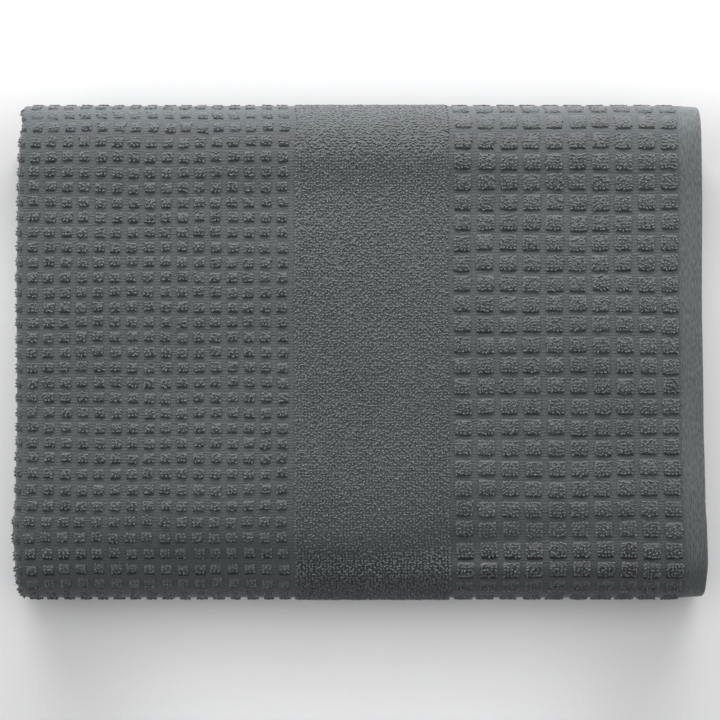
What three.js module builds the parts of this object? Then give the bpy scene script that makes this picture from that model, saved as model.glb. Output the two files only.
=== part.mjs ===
import * as THREE from 'three';

// A bath towel of checked terry, folded into a flat rectangular pack that lies on a surface.
// Sizes are millimetres. +X runs along the towel's length and ends at the visible hem, +Y is the back of
// the pack, +Z is up, and the origin is on the surface under the middle of the pack.
//
// The towel is folded in quarters along its length, which makes a stack of four plies, and that stack is
// folded in uneven thirds across its width. Each way of folding is a path of runs and turns. The cloth is
// the product of the two paths, thickened on both faces and closed at its hems and selvedges.

// The cloth
const CLOTH = 3.4;
const HEM = 2.0;
const HEM_WIDTH = 12;
const SELVEDGE = 2.2;
const SELVEDGE_WIDTH = 9;
const EDGE_RAMP = 1;
const GAP = 0.7;

// The pack before it settles
const PACK_LENGTH = 350;
const PACK_WIDTH = 253;

// The stack of four plies: top ply, upper inner ply, lower inner ply and bottom ply
const PLY_PITCH = CLOTH + GAP;
const STACK = 4 * CLOTH + 3 * GAP;
const STACK_PITCH = STACK + GAP;
const TOP_PLY = 1.5 * PLY_PITCH;
const OUTER_CORNER = 4.6;
const INNER_TURN = 0.5 * PLY_PITCH;
const INNER_TURN_INSET = 1.5;
const SECOND_HEM_INSET = 3;
const END_TURN_INSET = 2.5;

// The thin hems dip towards the plies under them. A dip has an angle in degrees, a bend and a run below it.
const HEM_DIP = { angle: 3.5, radius: 40, run: 14 };
const SECOND_HEM_DIP = { angle: 1.5, radius: 60, run: 12.5 };

// The thirds across the width
const BACK_TURN = 0.5 * STACK_PITCH;
const FRONT_CORNER = BACK_TURN;
const FRONT_FACE = 2 * (STACK_PITCH - FRONT_CORNER);
const FLAP_LENGTH = 194;
const BOTTOM_END_INSET = 16;
const PACK_HEIGHT = 3 * STACK + 2 * GAP;

// The front fold's face stands out most at half its height. The bulge fades out towards the flap inside.
const FRONT_BULGE = { reach: 2.2, still: -60, whole: -120 };

// How far the settled pack's left and right edges lie from the middle at each place along its width
const OUTLINE = [
  { y: 127, left: -172.6, right: 171.6 },
  { y: 125.6, left: -173.6, right: 172.8 },
  { y: 123, left: -174.0, right: 173.6 },
  { y: 116, left: -172.2, right: 173.8 },
  { y: 106, left: -173.8, right: 174.0 },
  { y: 77, left: -174.6, right: 174.4 },
  { y: 30, left: -175.2, right: 174.2 },
  { y: -30, left: -174.9, right: 175.0 },
  { y: -75, left: -175.8, right: 176.0 },
  { y: -91, left: -177.3, right: 177.0 },
  { y: -106, left: -176.2, right: 177.5 },
  { y: -120, left: -175.2, right: 176.8 },
  { y: -125, left: -174.6, right: 175.8 },
  { y: -127, left: -173.0, right: 174.2 },
];

// How far the plies lie inside that outline at the surface and at the top of the pack
const LEAN = [
  { z: 0, left: 1.2, right: -1.8 },
  { z: 24, left: 0.8, right: -1.2 },
  { z: 48, left: 0, right: 0 },
];

// The flap inside lies further in at both ends. It fades out towards the front fold.
const FLAP_INSET = { left: 2.2, right: -2.6, reach: 10, none: -100, whole: -70 };

// Under the back edge the plies end one behind the other, and a little askew
const BOTTOM_EDGE = { stagger: 6, skew: 1.6, still: 50, whole: 112 };

// How far in from each edge the top face begins to fall, and the share of the height that it loses there
const SHOULDERS = [
  { along: 'y', side: 1, reach: 38, drop: 0.09 },
  { along: 'y', side: -1, reach: 64, drop: 0.16 },
  { along: 'x', side: -1, reach: 30, drop: 0.06 },
  { along: 'x', side: 1, reach: 42, drop: 0.11 },
];

// Soft swells and hollows of the top face
const SWELLS = [
  { x: 0, y: 99, reachX: 400, reachY: 12, lift: 0.7 },
  { x: 20, y: 80, reachX: 260, reachY: 14, lift: -0.6 },
  { x: -60, y: 30, reachX: 70, reachY: 36, lift: 0.8 },
  { x: 80, y: 12, reachX: 80, reachY: 40, lift: 0.9 },
  { x: -124, y: -10, reachX: 44, reachY: 50, lift: -0.8 },
  { x: 132, y: -20, reachX: 40, reachY: 44, lift: -0.7 },
  { x: -20, y: -56, reachX: 90, reachY: 24, lift: 0.7 },
];

const TOWEL_FINISH = { color: 0x555a5c, roughness: 0.95, metalness: 0 };

// Lays a path of straight runs and round turns from a start. A row is one stretch: a run has a length, a turn
// has a radius and an angle in degrees, positive to the left. Each station has its place, its heading and the
// cloth's thickness there, which changes evenly along a row to what the row says.
function layPath(start, rows) {
  const stations = [{ ...start }];
  for (const row of rows) {
    const from = stations[stations.length - 1];
    for (let step = 1; step <= row.steps; step += 1) {
      const share = step / row.steps;
      const thick = THREE.MathUtils.lerp(from.thick, row.thick, share);
      if (row.run !== undefined) {
        const a = from.a + Math.cos(from.heading) * row.run * share;
        const b = from.b + Math.sin(from.heading) * row.run * share;
        stations.push({ a, b, heading: from.heading, thick });
      } else {
        const side = Math.sign(row.turn);
        const heading = from.heading + THREE.MathUtils.degToRad(row.turn) * share;
        const a = from.a + side * row.radius * (Math.sin(heading) - Math.sin(from.heading));
        const b = from.b - side * row.radius * (Math.cos(heading) - Math.cos(from.heading));
        stations.push({ a, b, heading, thick });
      }
    }
  }
  return stations;
}

// How far along and how far down a dip goes
function dipReach(dip) {
  const angle = THREE.MathUtils.degToRad(dip.angle);
  return {
    along: dip.run * Math.cos(angle) + dip.radius * Math.sin(angle),
    down: dip.run * Math.sin(angle) + dip.radius * (1 - Math.cos(angle)),
  };
}

// The plies along the towel's length, as distance along X and height in the stack. The path starts at the
// visible hem, on the top ply, and ends at the hem on the ply under it.
function lengthPath() {
  const hemEdge = PACK_LENGTH / 2;
  const leftFace = -PACK_LENGTH / 2 + CLOTH / 2;
  const leftTurn = leftFace + OUTER_CORNER;
  const innerLeftTurn = leftFace + TOP_PLY + INNER_TURN_INSET;
  const rightTurn = PACK_LENGTH / 2 - END_TURN_INSET - INNER_TURN - CLOTH / 2;
  const dip = dipReach(HEM_DIP);
  const under = SECOND_HEM_DIP;
  const innerPly = hemEdge - SECOND_HEM_INSET - dipReach(under).along - innerLeftTurn;
  const flatHem = HEM_WIDTH - EDGE_RAMP;
  const start = {
    a: hemEdge,
    b: TOP_PLY - dip.down,
    heading: Math.PI - THREE.MathUtils.degToRad(HEM_DIP.angle),
    thick: HEM,
  };
  return layPath(start, [
    { part: 'visible hem', run: flatHem, thick: HEM, steps: 1 },
    { part: 'hem step', run: EDGE_RAMP, thick: CLOTH, steps: 1 },
    { part: 'rise beside the hem', run: HEM_DIP.run - HEM_WIDTH, thick: CLOTH, steps: 1 },
    { part: 'bend', turn: HEM_DIP.angle, radius: HEM_DIP.radius, thick: CLOTH, steps: 2 },
    { part: 'top ply', run: hemEdge - dip.along - leftTurn, thick: CLOTH, steps: 7 },
    { part: 'upper left corner', turn: 90, radius: OUTER_CORNER, thick: CLOTH, steps: 4 },
    { part: 'left face', run: 2 * (TOP_PLY - OUTER_CORNER), thick: CLOTH, steps: 2 },
    { part: 'lower left corner', turn: 90, radius: OUTER_CORNER, thick: CLOTH, steps: 4 },
    { part: 'bottom ply', run: rightTurn - leftTurn, thick: CLOTH, steps: 6 },
    { part: 'right fold', turn: 180, radius: INNER_TURN, thick: CLOTH, steps: 5 },
    { part: 'lower inner ply', run: rightTurn - innerLeftTurn, thick: CLOTH, steps: 6 },
    { part: 'inner left fold', turn: -180, radius: INNER_TURN, thick: CLOTH, steps: 5 },
    { part: 'upper inner ply', run: innerPly, thick: CLOTH, steps: 6 },
    { part: 'second bend', turn: -under.angle, radius: under.radius, thick: CLOTH, steps: 1 },
    { part: 'fall by the second hem', run: under.run - HEM_WIDTH, thick: CLOTH, steps: 1 },
    { part: 'second hem step', run: EDGE_RAMP, thick: HEM, steps: 1 },
    { part: 'second hem', run: flatHem, thick: HEM, steps: 1 },
  ]);
}

// The stack's middle across the towel's width, as place along Y and height. The path starts at the edge of
// the flap inside, passes over the back fold, the top panel and the front fold, and ends under the back edge.
function widthPath() {
  const backTurn = PACK_WIDTH / 2 - BACK_TURN - STACK / 2;
  const frontTurn = -PACK_WIDTH / 2 + FRONT_BULGE.reach + FRONT_CORNER + STACK / 2;
  const bottomEnd = PACK_WIDTH / 2 - BOTTOM_END_INSET;
  const flapHeight = STACK_PITCH + STACK / 2;
  const flatSelvedge = SELVEDGE_WIDTH - EDGE_RAMP;
  const start = { a: backTurn - FLAP_LENGTH, b: flapHeight, heading: 0, thick: SELVEDGE };
  return layPath(start, [
    { part: 'flap selvedge', run: flatSelvedge, thick: SELVEDGE, steps: 1 },
    { part: 'flap selvedge step', run: EDGE_RAMP, thick: CLOTH, steps: 1 },
    { part: 'flap', run: FLAP_LENGTH - SELVEDGE_WIDTH, thick: CLOTH, steps: 4 },
    { part: 'back fold', turn: 180, radius: BACK_TURN, thick: CLOTH, steps: 9 },
    { part: 'top panel', run: backTurn - frontTurn, thick: CLOTH, steps: 9 },
    { part: 'upper front corner', turn: 90, radius: FRONT_CORNER, thick: CLOTH, steps: 6 },
    { part: 'front face', run: FRONT_FACE, thick: CLOTH, steps: 2 },
    { part: 'lower front corner', turn: 90, radius: FRONT_CORNER, thick: CLOTH, steps: 5 },
    { part: 'bottom panel', run: bottomEnd - frontTurn - SELVEDGE_WIDTH, thick: CLOTH, steps: 4 },
    { part: 'bottom selvedge step', run: EDGE_RAMP, thick: SELVEDGE, steps: 1 },
    { part: 'bottom selvedge', run: flatSelvedge, thick: SELVEDGE, steps: 1 },
  ]);
}

// A column's value at a place in a table, eased between its rows
function readTable(rows, key, column, place) {
  const ordered = [...rows].sort((first, second) => first[key] - second[key]);
  const next = ordered.findIndex((row) => row[key] >= place);
  if (next === 0) {
    return ordered[0][column];
  }
  if (next < 0) {
    return ordered[ordered.length - 1][column];
  }
  const from = ordered[next - 1];
  const to = ordered[next];
  const share = THREE.MathUtils.smoothstep(place, from[key], to[key]);
  return THREE.MathUtils.lerp(from[column], to[column], share);
}

// The share of its height that the pack keeps at a place
function heightShare(x, y) {
  const place = { x, y };
  const half = { x: PACK_LENGTH / 2, y: PACK_WIDTH / 2 };
  let share = 1;
  for (const shoulder of SHOULDERS) {
    const inward = half[shoulder.along] - shoulder.side * place[shoulder.along];
    const fall = THREE.MathUtils.clamp(1 - inward / shoulder.reach, 0, 1);
    share -= shoulder.drop * fall * fall;
  }
  for (const swell of SWELLS) {
    const away = ((x - swell.x) / swell.reachX) ** 2 + ((y - swell.y) / swell.reachY) ** 2;
    share += (swell.lift / PACK_HEIGHT) * Math.exp(-away);
  }
  return share;
}

// Moves a point of the even pack to where the soft cloth settles: the uneven outline, the plies that lie a
// little inside it, the rounded shoulders and the swells. The underside stays flat on the surface.
function settle(x, y, z) {
  const flapHeight = STACK_PITCH + STACK / 2;
  const atFlap = THREE.MathUtils.smoothstep(y, FLAP_INSET.none, FLAP_INSET.whole)
    * (1 - THREE.MathUtils.smoothstep(Math.abs(z - flapHeight), 0, FLAP_INSET.reach));
  const [left, right] = ['left', 'right'].map((side) => {
    const lean = readTable(LEAN, 'z', side, z) + FLAP_INSET[side] * atFlap;
    return readTable(OUTLINE, 'y', side, y) + lean;
  });
  const share = (x + PACK_LENGTH / 2) / PACK_LENGTH;
  const atBottomEdge = THREE.MathUtils.smoothstep(y, BOTTOM_EDGE.still, BOTTOM_EDGE.whole)
    * THREE.MathUtils.clamp(1 - z / STACK, 0, 1);
  const forward = BOTTOM_EDGE.stagger + (BOTTOM_EDGE.skew * x) / (PACK_LENGTH / 2);
  const atFront = THREE.MathUtils.smoothstep(-y, -FRONT_BULGE.still, -FRONT_BULGE.whole);
  const bulge = FRONT_BULGE.reach * atFront * (1 - (2 * z / PACK_HEIGHT - 1) ** 2);
  return [
    THREE.MathUtils.lerp(left, right, share),
    y - forward * atBottomEdge - bulge,
    z * heightShare(x, y),
  ];
}

// The folded cloth: both faces over the two paths, joined by a wall round the edge
function foldedCloth() {
  const lengthwise = lengthPath();
  const widthwise = widthPath();
  const rows = lengthwise.length;
  const columns = widthwise.length;
  const positions = [];
  for (const along of lengthwise) {
    for (const across of widthwise) {
      for (const face of [1, -1]) {
        const half = (face * Math.min(along.thick, across.thick)) / 2;
        const x = along.a + Math.sin(along.heading) * half;
        const rise = along.b - Math.cos(along.heading) * half;
        const y = across.a + Math.sin(across.heading) * rise;
        const z = across.b - Math.cos(across.heading) * rise;
        positions.push(...settle(x, y, z));
      }
    }
  }

  const corner = (row, column, face) => (row * columns + column) * 2 + face;
  const faces = [];
  const addQuad = (first, second, third, fourth) => {
    faces.push(first, second, third, first, third, fourth);
  };
  for (let row = 0; row + 1 < rows; row += 1) {
    for (let column = 0; column + 1 < columns; column += 1) {
      const square = [
        [row, column],
        [row + 1, column],
        [row + 1, column + 1],
        [row, column + 1],
      ];
      addQuad(...square.map(([r, c]) => corner(r, c, 0)));
      addQuad(...square.reverse().map(([r, c]) => corner(r, c, 1)));
    }
  }
  const addWall = (from, to) => {
    addQuad(corner(...from, 0), corner(...to, 0), corner(...to, 1), corner(...from, 1));
  };
  for (let row = 0; row + 1 < rows; row += 1) {
    addWall([row + 1, 0], [row, 0]);
    addWall([row, columns - 1], [row + 1, columns - 1]);
  }
  for (let column = 0; column + 1 < columns; column += 1) {
    addWall([0, column], [0, column + 1]);
    addWall([rows - 1, column + 1], [rows - 1, column]);
  }

  const geometry = new THREE.BufferGeometry();
  geometry.setAttribute('position', new THREE.Float32BufferAttribute(positions, 3));
  geometry.setIndex(faces);
  geometry.computeVertexNormals();
  return geometry;
}

const towel = new THREE.Mesh(foldedCloth(), new THREE.MeshStandardMaterial(TOWEL_FINISH));
towel.name = 'towel';

const group = new THREE.Group();
group.add(towel);

export default group;
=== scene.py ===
"""A bath towel of checked terry, folded into a flat rectangular pack.

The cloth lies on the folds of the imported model's solid: quarters along its length, then uneven thirds across
its width. The ground weave, the hems and the selvedges are one closed sheet. The terry stands on it as real
loops of yarn, in checks, a plain band and larger checks.

Sizes are metres, written as so many MM. +X runs along the towel's length to the visible hem, +Y is the back
of the pack, and +Z is up.
"""

import logging
import math
from dataclasses import dataclass, field, replace
from enum import Enum
from typing import Any, NamedTuple, Sequence

import bpy
import numpy as np
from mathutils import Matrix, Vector


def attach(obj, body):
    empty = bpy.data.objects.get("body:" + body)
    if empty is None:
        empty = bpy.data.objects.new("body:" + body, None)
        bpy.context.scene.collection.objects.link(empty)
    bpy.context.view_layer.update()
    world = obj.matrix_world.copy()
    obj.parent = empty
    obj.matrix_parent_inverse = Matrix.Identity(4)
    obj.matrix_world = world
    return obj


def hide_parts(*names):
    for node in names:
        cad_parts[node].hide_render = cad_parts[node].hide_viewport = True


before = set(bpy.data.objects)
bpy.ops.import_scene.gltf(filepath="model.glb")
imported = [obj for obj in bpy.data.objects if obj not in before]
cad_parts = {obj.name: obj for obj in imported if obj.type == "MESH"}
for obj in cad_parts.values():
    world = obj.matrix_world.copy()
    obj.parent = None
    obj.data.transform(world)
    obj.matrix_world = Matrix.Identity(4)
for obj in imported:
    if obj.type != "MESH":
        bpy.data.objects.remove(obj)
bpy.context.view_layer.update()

MM = 0.001
BAKE_MAP = "OFBake"
BODY = "root"
NODE = "towel"

# The least height of any yarn over the surface that the pack lies on
REST_GAP = 0.03 * MM
# The tone of the band's packed feet, before the painted shade of the back roll and the front fold darkens it
PACKED_SHADE = 0.82
# How much of a check's reach the pull of the weave takes away at its corners
CORNER_PULL = 0.055
# How many marks of a fold path its outer face is read at
PATH_MARKS = 6000

logging.basicConfig(level=logging.INFO, format="%(message)s")
log = logging.getLogger("towel")


def eased(share: np.ndarray) -> np.ndarray:
    """A share from 0 to 1, with a soft start and end."""
    return share * share * (3 - 2 * share)


def smoothstep(at: np.ndarray, low: float, high: float) -> np.ndarray:
    """An eased rise from 0 at low to 1 at high."""
    return eased(np.clip((at - low) / (high - low), 0, 1))


def plateau(at: np.ndarray, rise: tuple[float, float], fall: tuple[float, float]) -> np.ndarray:
    """An eased rise from 0 to 1 over one span, and an eased fall back to 0 over another."""
    return smoothstep(at, *rise) * (1 - smoothstep(at, *fall))


def unit(vectors: np.ndarray) -> np.ndarray:
    """The vectors at length 1."""
    return vectors / np.maximum(np.linalg.norm(vectors, axis=-1, keepdims=True), 1e-12)


def every_pair(first: np.ndarray, second: np.ndarray) -> tuple[np.ndarray, np.ndarray]:
    """Each value of the first with each one of the second, as two flat arrays."""
    return tuple(part.ravel() for part in np.meshgrid(first, second, indexing="ij"))


def travel(
    a: np.ndarray, b: np.ndarray, heading: np.ndarray, curvature: np.ndarray, distance: np.ndarray
) -> tuple[np.ndarray, np.ndarray, np.ndarray]:
    """Goes a distance along an arc, or along a line where the curvature is 0.

    Args:
        a: Place along the path's own first axis at the start.
        b: Place along its second axis at the start.
        heading: Heading at the start, in radians.
        curvature: One over the radius, positive to the left.
        distance: How far to go.

    Returns:
        The place and the heading at the end.
    """
    swing = curvature * distance
    chord = distance * np.sinc(swing / math.tau)
    middle = heading + swing / 2
    return a + np.cos(middle) * chord, b + np.sin(middle) * chord, heading + swing


class Stretch(NamedTuple):
    """One stretch of a fold path: a straight run, or a round turn where it has a radius."""

    name: str
    run: float = 0.0
    turn: float = 0.0
    radius: float = 0.0
    grain: float = 4 * MM

    @property
    def length(self) -> float:
        """How long the stretch is."""
        return self.run if self.radius == 0 else abs(math.radians(self.turn)) * self.radius

    @property
    def curvature(self) -> float:
        """One over its radius, positive to the left, and 0 for a run."""
        return 0.0 if self.radius == 0 else math.copysign(1 / self.radius, self.turn)


class FoldPath:
    """A path of runs and round turns that can be read at any distance along it."""

    def __init__(self, start: tuple[float, float, float], stretches: Sequence[Stretch]) -> None:
        """Works out where each stretch starts.

        Args:
            start: The first place and the heading there, in radians.
            stretches: The stretches in order.
        """
        self.stretches = list(stretches)
        self.starts = np.concatenate([[0.0], np.cumsum([row.length for row in self.stretches])])
        states = [start]
        for row in self.stretches:
            states.append(travel(*states[-1], row.curvature, row.length))
        self.states = np.array(states[:-1], dtype=float)
        self.curvatures = np.array([row.curvature for row in self.stretches])

    @property
    def length(self) -> float:
        """The whole path's length."""
        return float(self.starts[-1])

    def number(self, name: str) -> int:
        """Which stretch has this name."""
        return [row.name for row in self.stretches].index(name)

    def begin(self, name: str) -> float:
        """The distance at which the named stretch starts."""
        return float(self.starts[self.number(name)])

    def end(self, name: str) -> float:
        """The distance at which the named stretch ends."""
        return float(self.starts[self.number(name) + 1])

    def middle(self, name: str) -> float:
        """The distance at which the middle of the named stretch lies."""
        return (self.begin(name) + self.end(name)) / 2

    def at(self, distance: np.ndarray) -> tuple[np.ndarray, np.ndarray, np.ndarray]:
        """The places and headings at distances along the path."""
        along = np.clip(distance, 0, self.length)
        index = np.clip(np.searchsorted(self.starts, along, side="right") - 1, 0, len(self.stretches) - 1)
        a, b, heading = self.states[index].T
        return travel(a, b, heading, self.curvatures[index], along - self.starts[index])

    def stations(self) -> np.ndarray:
        """Distances for a mesh, with each stretch cut evenly by its own grain."""
        marks = [np.zeros(1)]
        for start, row in zip(self.starts, self.stretches):
            steps = max(1, math.ceil(row.length / row.grain - 1e-6))
            marks.append(start + row.length * np.arange(1, steps + 1) / steps)
        return np.concatenate(marks)

    def face_lengths(self, distance: np.ndarray, lift: float) -> np.ndarray:
        """The length along a face that lies so far to the right of the path, up to each distance."""
        heading = self.at(distance)[2]
        return distance + lift * (heading - self.states[0, 2])

    def under_face(self, face_length: np.ndarray, lift: float) -> np.ndarray:
        """The distance along the path under a length along such a face."""
        marks = np.linspace(0, self.length, PATH_MARKS)
        return np.interp(face_length, self.face_lengths(marks, lift), marks)


class OutlineRow(NamedTuple):
    """How far the settled pack's ends lie from the middle, in MM, at a place along its width."""

    y: float
    left: float
    right: float


class LeanRow(NamedTuple):
    """How far the plies lie inside the outline, in MM, at a height."""

    z: float
    left: float
    right: float


class Shoulder(NamedTuple):
    """How the top face falls towards one edge: from so far in, in MM, by a share of the height there."""

    axis: int
    side: int
    reach: float
    drop: float


class Swell(NamedTuple):
    """A soft ridge or hollow of the top face, in MM, whose own axes are turned by so many degrees."""

    x: float
    y: float
    reach_along: float
    reach_across: float
    lift: float
    turn: float = 0


# The settled outline, the lean of the plies and the soft relief of the top face
OUTLINE = (
    OutlineRow(-127, -173.0, 174.2),
    OutlineRow(-125, -174.6, 175.8),
    OutlineRow(-120, -175.2, 176.8),
    OutlineRow(-106, -176.2, 177.5),
    OutlineRow(-91, -177.3, 177.0),
    OutlineRow(-75, -175.8, 176.0),
    OutlineRow(-30, -174.9, 175.0),
    OutlineRow(30, -175.2, 174.2),
    OutlineRow(77, -174.6, 174.4),
    OutlineRow(106, -173.8, 174.0),
    OutlineRow(116, -172.2, 173.8),
    OutlineRow(123, -174.0, 173.6),
    OutlineRow(125.6, -173.6, 172.8),
    OutlineRow(127, -172.6, 171.6),
)
LEAN = (LeanRow(0, 1.2, -1.8), LeanRow(24, 0.8, -1.2), LeanRow(48, 0, 0))
SHOULDERS = (
    Shoulder(axis=1, side=1, reach=38, drop=0.09),
    Shoulder(axis=1, side=-1, reach=64, drop=0.16),
    Shoulder(axis=0, side=-1, reach=30, drop=0.06),
    Shoulder(axis=0, side=1, reach=42, drop=0.11),
)
SWELLS = (
    Swell(x=0, y=99, reach_along=400, reach_across=12, lift=0.7),
    Swell(x=20, y=80, reach_along=260, reach_across=14, lift=-0.6),
    Swell(x=-60, y=30, reach_along=70, reach_across=36, lift=0.8),
    Swell(x=80, y=12, reach_along=80, reach_across=40, lift=0.9),
    Swell(x=-124, y=-10, reach_along=44, reach_across=50, lift=-0.8),
    Swell(x=132, y=-20, reach_along=40, reach_across=44, lift=-0.7),
    Swell(x=-20, y=-56, reach_along=90, reach_across=24, lift=0.7),
)
# Creases and dents of the top face
CREASES = (
    Swell(x=25, y=2, reach_along=48, reach_across=58, lift=1.5),
    Swell(x=122, y=8, reach_along=26, reach_across=40, lift=1.7),
    Swell(x=-138, y=32, reach_along=24, reach_across=44, lift=0.9),
    Swell(x=18, y=101, reach_along=62, reach_across=8, lift=0.7),
    Swell(x=-92, y=101, reach_along=44, reach_across=11, lift=-0.4),
    Swell(x=-66, y=-107, reach_along=62, reach_across=8, lift=-1.5, turn=1),
    Swell(x=52, y=-98, reach_along=50, reach_across=9, lift=-1.6, turn=7),
    Swell(x=120, y=-92, reach_along=40, reach_across=9, lift=-0.5, turn=2),
    Swell(x=70, y=-74, reach_along=34, reach_across=9, lift=-0.6, turn=24),
    Swell(x=-100, y=-84, reach_along=40, reach_across=14, lift=0.7),
    Swell(x=-80, y=-122, reach_along=110, reach_across=20, lift=-2.2),
)


def read_rows(rows: Sequence[NamedTuple], column: int, place: np.ndarray) -> np.ndarray:
    """Reads a table at places along its first column, eased between its rows.

    Args:
        rows: The table, in MM, with its first column rising.
        column: The column to read.
        place: The places to read it at, in metres.

    Returns:
        The column's value at each place, in metres.
    """
    table = np.array(rows) * MM
    keys = table[:, 0]
    values = table[:, column]
    index = np.clip(np.searchsorted(keys, place), 1, len(keys) - 1)
    share = np.clip((place - keys[index - 1]) / (keys[index] - keys[index - 1]), 0, 1)
    return values[index - 1] + (values[index] - values[index - 1]) * eased(share)


class Dip(NamedTuple):
    """How a thin hem dips to the ply under it: an angle in degrees, a bend's radius and the run below it."""

    angle: float
    radius: float
    run: float

    @property
    def lean(self) -> float:
        """The angle in radians."""
        return math.radians(self.angle)

    @property
    def along(self) -> float:
        """How far along the towel the dip goes."""
        return self.run * math.cos(self.lean) + self.radius * math.sin(self.lean)

    @property
    def down(self) -> float:
        """How far down it goes."""
        return self.run * math.sin(self.lean) + self.radius * (1 - math.cos(self.lean))


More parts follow.
